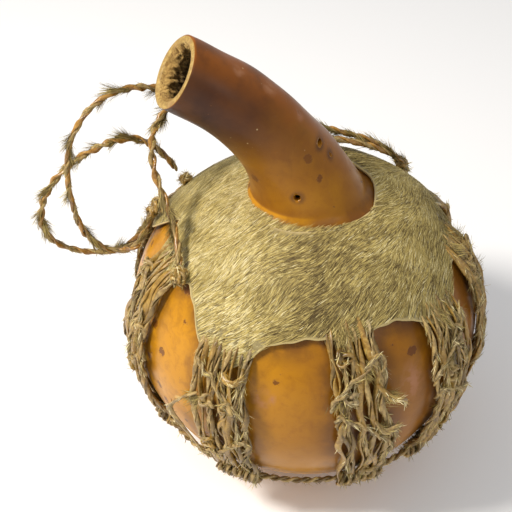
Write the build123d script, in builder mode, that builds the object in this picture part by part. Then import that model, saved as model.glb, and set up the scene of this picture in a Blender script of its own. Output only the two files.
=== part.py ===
"""Hollow gourd vessel with a haired hide cover, thong lacing and a looped thong strap.

The gourd stands on its flattened base.  +Z is up, the origin is the middle of the base, -Y is the front
and the neck leans towards -X.  All sizes are millimetres and all angles are degrees.
An azimuth is measured from the front, positive towards +X.
"""

import os
from math import acos, asin, cos, degrees, exp, pi, radians, sin, sqrt, tan

from build123d import *

# ---- Driving dimensions: the gourd ------------------------------------------------------------
belly_radius = 115.0
belly_height = 108.0  # height of the widest section
base_radius = 28.0  # flat spot that the gourd stands on
shoulder_radius = 43.0  # where the shoulder turns up into the neck
shoulder_height = 200.5
throat_radius = 36.0  # outside radius at the foot of the neck
throat_height = 206.8
wall = 5.0
mouth_wall = 3.9
bore_overrun = 1.0

neck_lean_azimuth = -71.0  # the neck leans to the left and a little forward
# Control points of the neck's centreline: distance out from the axis, height.
neck_line_points = ((0, throat_height), (20.6, 257.8), (55.4, 283.9), (79.4, 298.3))
mouth_radius = 21.2
mouth_tilt = 59.0  # tilt of the mouth's plane from level
neck_taper = 3.4  # even narrowing over the whole neck
throat_flare = throat_radius - mouth_radius - neck_taper
flare_reach = 0.19  # share of the neck over which the flare at its foot dies away
neck_sections = (0.0, 0.06, 0.13, 0.22, 0.34, 0.5, 0.75, 1.0)
# Small round holes in the neck: azimuth, height, radius.
neck_holes = ((-10, 220, 2.1), (22, 248, 1.8), (43, 239, 1.0))

# ---- Driving dimensions: hide, lacing and strap ------------------------------------------------
fit_gap = 0.2
hide_thickness = 1.3
hide_hole_radius = 42.0
thong_radius = 1.8
slit_radius = 2.1
thong_bend = 2.6  # bend where a thong turns down through its slit
runs_per_bundle = 8
run_pitch = 2.4  # azimuth between two runs of a bundle
ring_height = 48.0
ring_radius = 2.4
hitch_radius = 0.9  # thong pulled thin where it is hitched round the ring
strip_thickness = 1.4
strip_width = 6.0
strap_diameter = 5.0

# Each lacing bundle: its azimuth, and the height of the row of slits that it comes out of.
bundles = {
    "front": (16, 173),
    "front_right": (53, 167),
    "side_right": (85, 177),
    "rear_right": (126, 165),
    "rear": (167, 171),
    "rear_left": (-152, 162),
    "back_left": (-113, 166),
    "side_left": (-65, 175),
    "front_left": (-25, 157),
}
# The hide's lower edge, which hangs in a tab at each bundle: azimuth, height.
hide_edge_points = (
    (-25, 142), (-17.5, 150), (-11.5, 161), (1, 165.5), (8, 166), (16, 163), (25, 166), (35, 167.5),
    (43, 162), (53, 152), (62.5, 158), (69, 168), (75, 169), (85, 166), (94, 170), (105, 178),
    (116, 161), (126, 150), (136, 155), (147, 158), (157, 161), (167, 158), (177, 162), (187, 172),
    (198, 156), (208, 150), (218, 156), (227, 167), (237, 160), (247, 156), (257, 158), (266, 162),
    (271, 172), (278, 184), (284, 177), (287, 164), (293, 157), (299, 160), (304, 169), (312, 173),
    (320, 164), (326, 150),
)
binding_drop = 27.0  # a binding crosses its bundle this far below the slits
# Strap knots: azimuth, height, radius.
knots = {
    "strap_knot_front": (-52, 173, 4.6),
    "strap_knot_left": (-98, 170, 6.5),
    "strap_knot_left_upper": (-116, 176, 4.6),
    "strap_knot_right": (140, 166, 6.5),
}


# ---- Profile of the gourd ----------------------------------------------------------------------
def arc_through(flat_radius, rise):
    """Radius of the arc that is upright at the belly and passes through a point at that rise."""
    reach = belly_radius - flat_radius
    return (reach**2 + rise**2) / (2 * reach)


lower_arc = arc_through(base_radius, belly_height)
lower_centre = belly_radius - lower_arc
upper_arc = arc_through(shoulder_radius, shoulder_height - belly_height)
upper_centre = belly_radius - upper_arc
shoulder_angle = degrees(asin((shoulder_height - belly_height) / upper_arc))
base_angle = degrees(asin(belly_height / lower_arc))


def surface_radius(height, lift=0.0):
    """Distance from the axis to the gourd's skin, or to a surface lifted off it."""
    if height >= belly_height:
        return upper_centre + sqrt((upper_arc + lift) ** 2 - (height - belly_height) ** 2)
    return lower_centre + sqrt((lower_arc + lift) ** 2 - (height - belly_height) ** 2)


def upper_angle(height, lift=0.0):
    return degrees(asin((height - belly_height) / (upper_arc + lift)))


def lower_angle(height, lift=0.0):
    return degrees(asin((height - belly_height) / (lower_arc + lift)))


def outward(azimuth):
    """Level unit vector from the axis towards an azimuth."""
    return Vector(sin(radians(azimuth)), -cos(radians(azimuth)), 0)


def meridian_plane(azimuth):
    """Upright half plane through the axis: local x is outward, local y is up."""
    out = outward(azimuth)
    return Plane(origin=(0, 0, 0), x_dir=out, z_dir=out.cross(Vector(0, 0, 1)))


def lifted_place(azimuth, height, lift):
    """Point at a lift off the shoulder's skin."""
    angle = upper_angle(height)
    normal = outward(azimuth) * cos(radians(angle)) + Vector(0, 0, sin(radians(angle)))
    return outward(azimuth) * surface_radius(height) + Vector(0, 0, height) + normal * lift


# ---- Gourd ---------------------------------------------------------------------------------------
def gourd_outline(inset):
    """Lower arc, upper arc and throat of the outer skin, moved in by a wall."""
    low_start = degrees(acos((base_radius - lower_centre) / lower_arc))
    lower = CenterArc((lower_centre, belly_height), lower_arc - inset, -low_start, low_start)
    upper = CenterArc((upper_centre, belly_height), upper_arc - inset, 0, shoulder_angle)
    heading = Vector(-sin(radians(shoulder_angle)), cos(radians(shoulder_angle)))
    TangentArc(upper @ 1, (throat_radius - inset, throat_height), tangent=heading)
    return lower


with BuildPart() as gourd_bowl:
    with BuildSketch(meridian_plane(90)) as bowl_section:
        with BuildLine():
            skin = gourd_outline(0)
            Line((0, 0), skin @ 0)
            Line((throat_radius, throat_height), (0, throat_height))
            Line((0, throat_height), (0, 0))
        make_face()
    revolve(axis=Axis.Z)
    with BuildSketch(meridian_plane(90)) as cavity_section:
        with BuildLine():
            lining = gourd_outline(wall)
            Line((0, (lining @ 0).Z), lining @ 0)
            Line((throat_radius - wall, throat_height), (0, throat_height))
            Line((0, throat_height), (0, (lining @ 0).Z))
        make_face()
    revolve(axis=Axis.Z, mode=Mode.SUBTRACT)
gourd_bowl.part.label = "gourd_bowl"

lean_plane = meridian_plane(neck_lean_azimuth)
with BuildLine(lean_plane) as neck_line:
    Bezier(*neck_line_points)


def neck_section(share, overrun=0.0):
    """Plane across the neck: level at the foot and square to the neck at the mouth."""
    tilt = radians(mouth_tilt * share**0.85)
    normal = lean_plane.x_dir * sin(tilt) + lean_plane.y_dir * cos(tilt)
    return Plane(origin=neck_line.line @ share + normal * overrun, x_dir=lean_plane.z_dir, z_dir=normal)


def neck_radius(share):
    return mouth_radius + neck_taper * (1 - share) + throat_flare * exp(-share / flare_reach)


def neck_wall(share):
    return wall + (mouth_wall - wall) * share


with BuildPart() as gourd_neck:
    for share in neck_sections:
        with BuildSketch(neck_section(share)):
            Circle(neck_radius(share))
    loft()
    for share in neck_sections:
        past_the_end = bore_overrun * {0.0: -1, 1.0: 1}.get(share, 0)
        with BuildSketch(neck_section(share, past_the_end)):
            Circle(neck_radius(share) - neck_wall(share))
    loft(mode=Mode.SUBTRACT)
    for azimuth, height, radius in neck_holes:
        with BuildSketch(Plane(origin=(0, 0, height), z_dir=outward(azimuth))):
            Circle(radius)
        extrude(amount=2 * throat_radius, mode=Mode.SUBTRACT)
gourd_neck.part.label = "gourd_neck"

# ---- Hide cover -------------------------------------------------------------------------------------
hide_inside = fit_gap
hide_outside = fit_gap + hide_thickness
run_lift = hide_outside + fit_gap + thong_radius  # a thong's middle clears the hide by the fit gap


def hide_edge():
    """Closed plan curve along the hide's lower edge."""
    points = [outward(azimuth) * surface_radius(height, hide_outside) for azimuth, height in hide_edge_points]
    return Spline(*points, periodic=True)


def run_place(azimuth, number):
    """Azimuth of one run of the bundle that is centred on an azimuth."""
    return azimuth + (number - (runs_per_bundle - 1) / 2) * run_pitch


with BuildPart() as hide_cover:
    with BuildSketch(meridian_plane(90)):
        start = upper_angle(min(height for _, height in hide_edge_points)) - 4
        stop = degrees(acos((hide_hole_radius - upper_centre) / upper_arc))
        with BuildLine():
            inner = CenterArc((upper_centre, belly_height), upper_arc + hide_inside, start, stop - start)
            outer = CenterArc((upper_centre, belly_height), upper_arc + hide_outside, start, stop - start)
            Line(inner @ 0, outer @ 0)
            Line(inner @ 1, outer @ 1)
        make_face()
    revolve(axis=Axis.Z)
    with BuildSketch(Plane.XY.offset(belly_height)):
        with BuildLine():
            hide_edge()
        make_face()
    extrude(amount=throat_height - belly_height, mode=Mode.INTERSECT)
    for azimuth, slit_height in bundles.values():
        slit_rise = upper_angle(slit_height)
        for number in range(runs_per_bundle):
            out = outward(run_place(azimuth, number))
            normal = out * cos(radians(slit_rise)) + Vector(0, 0, sin(radians(slit_rise)))
            centre = out * upper_centre + Vector(0, 0, belly_height)
            with BuildSketch(Plane(origin=centre + normal * (upper_arc - 1), z_dir=normal)):
                Circle(slit_radius)
            extrude(amount=2 + hide_outside, mode=Mode.SUBTRACT)
hide_cover.part.label = "hide_cover"

# ---- Base ring and lacing ---------------------------------------------------------------------------
hitch_turn = ring_radius + hitch_radius + 0.1  # radius of a hitch's turn round the ring
ring_lift = hitch_turn + hitch_radius + fit_gap
ring_angle = lower_angle(ring_height, ring_lift)
ring_out = lower_centre + (lower_arc + ring_lift) * cos(radians(ring_angle))
hitch_reach = hitch_turn + hitch_radius + 0.1

with BuildPart() as base_ring:
    with BuildSketch(meridian_plane(90)):
        with Locations((ring_out, ring_height)):
            Circle(ring_radius)
    revolve(axis=Axis.Z)
base_ring.part.label = "base_ring"


def lacing_run(azimuth, slit_height):
    """One thong run: out of its slit, over the hide's edge and down to the ring."""
    bend_turn = 85
    top_angle = upper_angle(slit_height) - degrees(thong_bend / upper_arc)
    foot_angle = ring_angle + degrees(hitch_reach / lower_arc)
    with BuildPart() as run:
        with BuildLine(meridian_plane(azimuth)) as path:
            low = CenterArc((lower_centre, belly_height), lower_arc + run_lift, foot_angle, -foot_angle)
            high = CenterArc((upper_centre, belly_height), upper_arc + run_lift, 0, top_angle)
            JernArc(start=high @ 1, tangent=high % 1, radius=thong_bend, arc_size=bend_turn)
        with BuildSketch(Plane(origin=low @ 0, z_dir=low % 0)):
            Circle(thong_radius)
        sweep(path=path.wires()[0])
    return run.part


def ring_hitch(azimuth):
    """One turn of a thong round the base ring."""
    across = outward(azimuth).cross(Vector(0, 0, 1))
    ring_middle = outward(azimuth) * ring_out + Vector(0, 0, ring_height)
    with BuildPart() as hitch:
        with BuildSketch(Plane(origin=ring_middle, x_dir=outward(azimuth), z_dir=(0, 0, 1))):
            with Locations((hitch_turn, 0)):
                Circle(hitch_radius)
        revolve(axis=Axis(ring_middle, across))
    return hitch.part


lacings = {}
for place, (azimuth, slit_height) in bundles.items():
    runs = [lacing_run(run_place(azimuth, n), slit_height) for n in range(runs_per_bundle)]
    hitches = [ring_hitch(run_place(azimuth, n)) for n in range(runs_per_bundle)]
    lacings["lacing_" + place] = Compound(children=runs + hitches)


def binding_strip(azimuth, slit_height):
    """Flat strip wrapped across a bundle, lying on its runs."""
    middle = upper_angle(slit_height) - degrees(binding_drop / upper_arc)
    half = degrees(strip_width / 2 / upper_arc)
    inside = upper_arc + run_lift + thong_radius + fit_gap
    with BuildPart() as strip:
        with BuildSketch(meridian_plane(azimuth - run_pitch * runs_per_bundle / 2)):
            with BuildLine():
                near = CenterArc((upper_centre, belly_height), inside, middle - half, 2 * half)
                far = CenterArc((upper_centre, belly_height), inside + strip_thickness, middle - half, 2 * half)
                Line(near @ 0, far @ 0)
                Line(near @ 1, far @ 1)
            make_face()
        revolve(axis=Axis.Z, revolution_arc=run_pitch * runs_per_bundle)
    return strip.part


bindings = {"binding_" + place: binding_strip(*spot) for place, spot in bundles.items()}


# ---- Strap -------------------------------------------------------------------------------------------
def strap_knot(azimuth, height, radius):
    """Rounded knot seated on the hide."""
    middle = lifted_place(azimuth, height, hide_outside + fit_gap + radius)
    with BuildPart() as knot:
        with Locations(middle):
            Sphere(radius)
    return knot.part


strap_knots = {name: strap_knot(*spot) for name, spot in knots.items()}

# Routes of the three strap thongs.
strap_routes = {
    "strap_thong_long": (
        (61, 76, 176), (53, 66, 191), (36, 60, 203), (12, 56, 212), (-15, 51, 221), (-45, 46, 232),
        (-72, 39, 245), (-95, 29, 256), (-116, 17, 261), (-133, 6, 254), (-146, -1, 234),
        (-150, -2, 207), (-149, 0, 184), (-146, 2, 164), (-138, 5, 148), (-125, 6, 142),
        (-112, 5, 147), (-106, 5, 159), (-101, 11, 170),
    ),
    "strap_thong_short": (
        (67, 71, 177), (55, 60, 191), (36, 53, 203), (12, 48, 210), (-14, 44, 218), (-40, 40, 227),
        (-65, 34, 238), (-83, 26, 247), (-94, 12, 242), (-96, -2, 229), (-92, -12, 215),
        (-83, -24, 201), (-77, -38, 190), (-75, -53, 182),
    ),
    "strap_thong_loop": (
        (-87, 43, 184), (-92, 41, 194), (-101, 36, 209), (-115, 28, 219), (-133, 19, 217),
        (-154, 11, 206), (-170, 7, 185), (-174, 6, 159), (-163, 10, 141), (-144, 14, 134),
        (-126, 17, 134), (-111, 15, 148), (-100, 18, 168),
    ),
}


def arc_radii(route):
    """Radius at each corner: 0.45 of the shorter run, over the tangent of half the turn."""
    points = [Vector(*p) for p in route]
    radii = []
    for before, corner, after in zip(points, points[1:], points[2:]):
        run_in, run_out = corner - before, after - corner
        turn = run_in.get_angle(run_out)
        radii.append(0.45 * min(run_in.length, run_out.length) / tan(radians(turn / 2)))
    return radii


def strap_thong(name, route):
    """Plain round thong along straight runs joined by tangent arcs."""
    radii = arc_radii(route)
    with BuildPart() as thong:
        with BuildLine() as path:
            line = FilletPolyline(*route, radius=radii)
        with BuildSketch(Plane(origin=line @ 0, z_dir=line % 0)):
            Circle(strap_diameter / 2)
        sweep(path=path.wires()[0])
    expected = line.length * pi * strap_diameter**2 / 4
    print(name, "length", round(line.length, 1), "radii", [round(r, 1) for r in radii])
    print(name, "volume over section times length", round(thong.part.volume / expected, 4))
    return thong.part


straps = {name: strap_thong(name, route) for name, route in strap_routes.items()}

# ---- Write every piece ---------------------------------------------------------------------------------
os.makedirs("parts", exist_ok=True)
for piece in (gourd_bowl, gourd_neck, hide_cover, base_ring):
    export_step(piece.part, f"parts/{piece.part.label}.step")
for group in (lacings, bindings, strap_knots, straps):
    for name, piece in group.items():
        piece.label = name
        export_step(piece, f"parts/{name}.step")
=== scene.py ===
"""Hollow gourd with a haired hide cover, rawhide lacing and a looped haired strap.

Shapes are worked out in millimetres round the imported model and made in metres.  +Z is up, the origin is
the middle of the base, -Y is the front and the neck leans towards -X.  An azimuth is measured in degrees
from the front, positive to +X.
"""

import math

import bmesh
import bpy
import numpy as np
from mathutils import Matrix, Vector


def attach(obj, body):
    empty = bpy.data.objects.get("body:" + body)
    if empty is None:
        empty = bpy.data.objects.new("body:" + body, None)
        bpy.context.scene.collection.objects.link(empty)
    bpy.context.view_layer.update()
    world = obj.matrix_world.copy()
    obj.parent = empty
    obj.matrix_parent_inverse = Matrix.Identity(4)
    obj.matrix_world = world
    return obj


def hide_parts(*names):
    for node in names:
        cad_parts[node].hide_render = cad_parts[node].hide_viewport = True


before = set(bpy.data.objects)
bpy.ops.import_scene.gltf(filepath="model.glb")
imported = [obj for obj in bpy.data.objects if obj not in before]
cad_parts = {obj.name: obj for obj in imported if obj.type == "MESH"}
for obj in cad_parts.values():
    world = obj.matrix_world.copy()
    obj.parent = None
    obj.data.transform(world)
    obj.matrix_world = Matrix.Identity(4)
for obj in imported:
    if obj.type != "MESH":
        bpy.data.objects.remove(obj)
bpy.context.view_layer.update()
MM = 0.001
UP = np.array([0, 0, 1.0])
TAU = 2 * np.pi

# ---- The gourd's shape, as the model has it ----
BELLY_RADIUS, BELLY_HEIGHT, BASE_RADIUS = 115.0, 108.0, 28.0
SHOULDER_RADIUS, SHOULDER_HEIGHT = 43.0, 200.5
THROAT_RADIUS, THROAT_HEIGHT = 36.0, 206.8
WALL, MOUTH_WALL = 5.0, 3.9
NECK_AZIMUTH = -71.0
NECK_LINE = np.array([(0, THROAT_HEIGHT), (20.6, 257.8), (55.4, 283.9), (79.4, 298.3)])
MOUTH_RADIUS, MOUTH_TILT, NECK_TAPER, FLARE_REACH = 21.2, 59.0, 3.4, 0.19
NECK_HOLES = ((-10, 220, 2.1), (22, 248, 1.8), (43, 239, 1.0))
HIDE_HOLE_RADIUS = 42.0
RING_HEIGHT, RING_LIFT = 48.0, 3.9

# Each lacing bundle: azimuth, height of its slits, azimuth shift of its foot, share of haired thongs.
BUNDLES = {
    "front": (16, 173, 7, 0.55),
    "front_right": (53, 167, 0, 0.8),
    "side_right": (85, 177, -6, 0.7),
    "rear_right": (126, 165, 3, 0.6),
    "rear": (167, 171, -3, 0.5),
    "rear_left": (-152, 162, 4, 0.6),
    "back_left": (-113, 166, 3, 0.6),
    "side_left": (-65, 175, -2, 0.75),
    "front_left": (-25, 157, 3, 0.5),
}
BUNDLE_DROP = 120.0
SLITS_EACH, SLIT_SPREAD, FOOT_SPREAD = 6, 8.4, 7.2
STRANDS, BROAD_STRANDS = 9, (1, 4, 6)

# The hide's lower edge: azimuth and height.
HIDE_EDGE = (
    (-25, 142), (-17.5, 150), (-11.5, 161), (1, 165.5), (8, 166), (16, 163), (25, 166), (35, 167.5),
    (43, 162), (53, 152), (62.5, 158), (69, 168), (75, 169), (85, 166), (94, 170), (105, 178),
    (116, 161), (126, 150), (136, 155), (147, 158), (157, 161), (167, 158), (177, 162), (187, 172),
    (198, 156), (208, 150), (218, 156), (227, 167), (237, 160), (247, 156), (257, 158), (266, 162),
    (271, 172), (278, 184), (284, 177), (287, 164), (293, 157), (299, 160), (304, 169), (312, 173),
    (320, 164), (326, 150),
)
STRAP_DIAMETER, STRAP_STEP, STRAP_TWIST = 5.0, 1.2, 21.0
STRAPS = {
    "strap_thong_long": (
        (61, 76, 176), (53, 66, 191), (36, 60, 203), (12, 56, 212), (-15, 51, 221), (-45, 46, 232),
        (-72, 39, 245), (-95, 29, 256), (-116, 17, 261), (-133, 6, 254), (-146, -1, 234),
        (-150, -2, 207), (-149, 0, 184), (-146, 2, 164), (-138, 5, 148), (-125, 6, 142),
        (-112, 5, 147), (-106, 5, 159), (-101, 11, 170),
    ),
    "strap_thong_short": (
        (67, 71, 177), (55, 60, 191), (36, 53, 203), (12, 48, 210), (-14, 44, 218), (-40, 40, 227),
        (-65, 34, 238), (-83, 26, 247), (-94, 12, 242), (-96, -2, 229), (-92, -12, 215),
        (-83, -24, 201), (-77, -38, 190), (-75, -53, 182),
    ),
    "strap_thong_loop": (
        (-87, 43, 184), (-92, 41, 194), (-101, 36, 209), (-115, 28, 219), (-133, 19, 217),
        (-154, 11, 206), (-170, 7, 185), (-174, 6, 159), (-163, 10, 141), (-144, 14, 134),
        (-126, 17, 134), (-111, 15, 148), (-100, 18, 168),
    ),
}
# Each hitch of the strap: azimuth, height and size.
STRAP_KNOTS = {
    "strap_knot_front": (-52, 173, 4.4), "strap_knot_left": (-98, 170, 6.2),
    "strap_knot_left_upper": (-116, 176, 3.1), "strap_knot_right": (140, 166, 4.6),
}


def arc_through(flat_radius, rise):
    """Radius of the arc that is upright at the belly and passes through a point at that rise."""
    reach = BELLY_RADIUS - flat_radius
    return (reach**2 + rise**2) / (2 * reach)


LOWER_ARC = arc_through(BASE_RADIUS, BELLY_HEIGHT)
LOWER_CENTRE = BELLY_RADIUS - LOWER_ARC
UPPER_ARC = arc_through(SHOULDER_RADIUS, SHOULDER_HEIGHT - BELLY_HEIGHT)
UPPER_CENTRE = BELLY_RADIUS - UPPER_ARC
SHOULDER_RISE = math.asin((SHOULDER_HEIGHT - BELLY_HEIGHT) / UPPER_ARC)
HIDE_TOP_RISE = math.acos((HIDE_HOLE_RADIUS - UPPER_CENTRE) / UPPER_ARC)


# ---- Small helpers ----
def clamp(x):
    return np.clip(x, 0, 1)


def unit(v):
    return v / np.maximum(np.linalg.norm(v, axis=-1, keepdims=True), 1e-9)


def outward(azimuth):
    """Level unit vectors from the axis towards azimuths in degrees."""
    a = np.radians(np.asarray(azimuth, float))
    return np.stack([np.sin(a), -np.cos(a), np.zeros_like(a)], -1)


def turned(side, other, angle):
    """Directions at angles between two sets of side vectors."""
    return side * np.cos(angle)[:, None] + other * np.sin(angle)[:, None]


def wrapped(angle):
    """Angles in degrees brought between -180 and 180."""
    return (angle + 180) % 360 - 180


def skin(azimuth, height, lift=0.0):
    """Points at a lift off the body's skin, and the outward normals there."""
    azimuth, height, lift = np.broadcast_arrays(*(np.asarray(x, float) for x in (azimuth, height, lift)))
    upper = height >= BELLY_HEIGHT
    arc = np.where(upper, UPPER_ARC, LOWER_ARC)
    centre = np.where(upper, UPPER_CENTRE, LOWER_CENTRE)
    rise = np.arcsin(np.clip((height - BELLY_HEIGHT) / arc, -1, 1))
    out = outward(azimuth)
    normal = out * np.cos(rise)[..., None] + UP * np.sin(rise)[..., None]
    middle = out * centre[..., None] + UP * BELLY_HEIGHT
    return middle + normal * (arc + lift)[..., None], normal


def rise_of(height):
    """Angle above the belly of a height on the shoulder."""
    return np.arcsin((np.asarray(height, float) - BELLY_HEIGHT) / UPPER_ARC)


def over_shoulder(azimuth, rise):
    """Skin points and normals at angles above the belly."""
    return skin(azimuth, BELLY_HEIGHT + UPPER_ARC * np.sin(rise))


def bundle_middle(place, height):
    """Azimuth of a bundle's middle at a height, between its slits and its shifted foot."""
    azimuth, slit, foot_shift, _ = BUNDLES[place]
    return azimuth + foot_shift * clamp((slit - height) / BUNDLE_DROP)


class Waves:
    """Smooth repeatable noise: a sum of random plane waves, about -1 to 1."""

    def __init__(self, wavelength, seed, count=24):
        draw = np.random.default_rng(seed)
        self.k = unit(draw.normal(size=(count, 3))) * (TAU / wavelength)
        self.k *= draw.uniform(0.6, 1.6, (count, 1))
        self.phase = draw.uniform(0, TAU, count)

    def __call__(self, points):
        waves = np.sin(np.asarray(points) @ self.k.T + self.phase)
        return waves.sum(-1) / math.sqrt(len(self.phase))


def add_mesh(name, points, faces, materials, face_slots=None, slot=None, attributes=None):
    """A mesh object from points in millimetres and a list of face arrays, each of one corner count."""
    mesh = bpy.data.meshes.new(name)
    points = np.asarray(points, float).reshape(-1, 3) * MM
    mesh.vertices.add(len(points))
    mesh.vertices.foreach_set("co", points.ravel())
    sizes = np.concatenate([np.full(len(group), group.shape[1], np.int32) for group in faces])
    mesh.loops.add(int(sizes.sum()))
    corners = np.concatenate([group.ravel() for group in faces])
    mesh.loops.foreach_set("vertex_index", corners.astype(np.int32))
    mesh.polygons.add(len(sizes))
    starts = np.concatenate([[0], np.cumsum(sizes)[:-1]]).astype(np.int32)
    mesh.polygons.foreach_set("loop_start", starts)
    mesh.polygons.foreach_set("use_smooth", np.full(len(sizes), True))
    for material in materials:
        mesh.materials.append(material)
    if face_slots is not None:
        mesh.polygons.foreach_set("material_index", np.asarray(face_slots, np.int32))
    for key, values in (attributes or {}).items():
        layer = mesh.attributes.new(key, "FLOAT", "POINT")
        layer.data.foreach_set("value", np.asarray(values, np.float32))
    mesh.update(calc_edges=True)
    mesh.validate()
    piece = bpy.data.objects.new(name, mesh)
    bpy.context.collection.objects.link(piece)
    if slot:
        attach(piece, "root")
    return piece


def grid_faces(rows, columns):
    """Quads over a grid of points stored row by row, whose rows are closed rings."""
    r, c = np.meshgrid(np.arange(rows - 1), np.arange(columns), indexing="ij")
    following = (c + 1) % columns
    corners = np.stack([r * columns + c, r * columns + following,
                        (r + 1) * columns + following, (r + 1) * columns + c], -1)
    return corners.reshape(-1, 4)


def frames_along(path):
    """Tangents and two side vectors along a path, with as little turning as it allows."""
    tangent = unit(np.gradient(path, axis=0))
    side = np.zeros_like(path)
    first = np.cross(tangent[0], UP)
    side[0] = unit(first if np.linalg.norm(first) > 0.1 else np.cross(tangent[0], [1.0, 0, 0]))
    for i in range(1, len(path)):
        side[i] = unit(side[i - 1] - tangent[i] * (side[i - 1] @ tangent[i]))
    return tangent, side, np.cross(tangent, side)


def strand_mesh(path, half_width, half_thickness, turn, sides=8, taper=3):
    """A flat strip as an elliptical tube: half sizes and turn may vary along the path."""
    count = len(path)
    _, side, other = frames_along(path)
    width, thick, turn = (np.broadcast_to(np.asarray(x, float), count) for x in
                          (half_width, half_thickness, turn))
    if taper:
        ends = np.minimum(1, (np.minimum(np.arange(count), np.arange(count)[::-1]) + 0.6) / taper)
        width, thick = width * ends**0.5, thick * ends**0.5
    across = turned(side, other, turn)
    through = turned(other, -side, turn)
    angle = np.linspace(0, TAU, sides, endpoint=False)
    ring = (across[:, None] * np.cos(angle)[None, :, None] * width[:, None, None]
            + through[:, None] * np.sin(angle)[None, :, None] * thick[:, None, None])
    points = (path[:, None] + ring).reshape(-1, 3)
    start = np.arange(sides)
    end = (count - 1) * sides + start
    first = np.stack([np.full(sides, len(points)), np.roll(start, -1), start], -1)
    last = np.stack([np.full(sides, len(points) + 1), end, np.roll(end, -1)], -1)
    return np.vstack([points, path[0], path[-1]]), grid_faces(count, sides), np.vstack([first, last])


def smooth_path(points, count):
    """Points evenly spread along a smooth curve through a few points (Catmull-Rom)."""
    p = np.asarray(points, float)
    p = np.vstack([2 * p[0] - p[1], p, 2 * p[-1] - p[-2]])
    t = np.linspace(0, len(p) - 3 - 1e-6, count)
    i = t.astype(int)
    u = (t - i)[:, None]
    a, b, c, d = p[i], p[i + 1], p[i + 2], p[i + 3]
    return 0.5 * (2 * b + (c - a) * u + (2 * a - 5 * b + 4 * c - d) * u**2 + (3 * b - a - 3 * c + d) * u**3)


# ---- Camera, light and floor ----
def aim(item, direction):
    item.rotation_euler = Vector(direction).to_track_quat("-Z", "Y").to_euler()
    bpy.context.collection.objects.link(item)


def make_camera():
    data = bpy.data.cameras.new("camera")
    data.lens = 77.94
    data.clip_start = 0.01
    camera = bpy.data.objects.new("camera", data)
    camera.location = (0, -0.55736, 0.60985)
    aim(camera, (-0.04387, 0.76906, -0.63767))
    bpy.context.scene.camera = camera
    bpy.context.scene.view_settings.view_transform = "Standard"


def make_light(name, place, target, size, power, colour=(1, 1, 1)):
    data = bpy.data.lights.new(name, "AREA")
    data.shape = "DISK"
    data.size = size
    data.energy = power
    data.color = colour
    light = bpy.data.objects.new(name, data)
    light.location = place
    aim(light, Vector(target) - Vector(place))


def make_stage():
    world = bpy.data.worlds.new("studio")
    world.use_nodes = True
    background = world.node_tree.nodes["Background"]
    background.inputs["Color"].default_value = (1, 1, 1, 1)
    background.inputs["Strength"].default_value = 0.52
    bpy.context.scene.world = world
    corners = np.array([(-1, -1, 0), (1, -1, 0), (1, 1, 0), (-1, 1, 0)]) * 4000
    floor = add_mesh("floor", corners, [np.array([[0, 1, 2, 3]])],
                     [plain("floor_paper", (0.93, 0.93, 0.94), 0.9)])
    make_light("key", (-0.85, -0.35, 1.15), (0, 0, 0.12), 0.34, 22, (1, 0.95, 0.87))
    make_light("fill", (0.8, -0.9, 0.9), (0, 0, 0.1), 1.0, 3.2)


# ---- Materials ----
def new_material(name, settings):
    """A material with values set on its shader's own sockets."""
    material = bpy.data.materials.new(name)
    material.use_nodes = True
    shader = material.node_tree.nodes["Principled BSDF"]
    for socket, value in settings.items():
        shader.inputs[socket].default_value = value
    return material


def plain(name, colour, roughness):
    settings = {"Base Color": (*colour, 1), "Roughness": roughness, "Specular IOR Level": 0.2}
    return new_material(name, settings)


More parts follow.
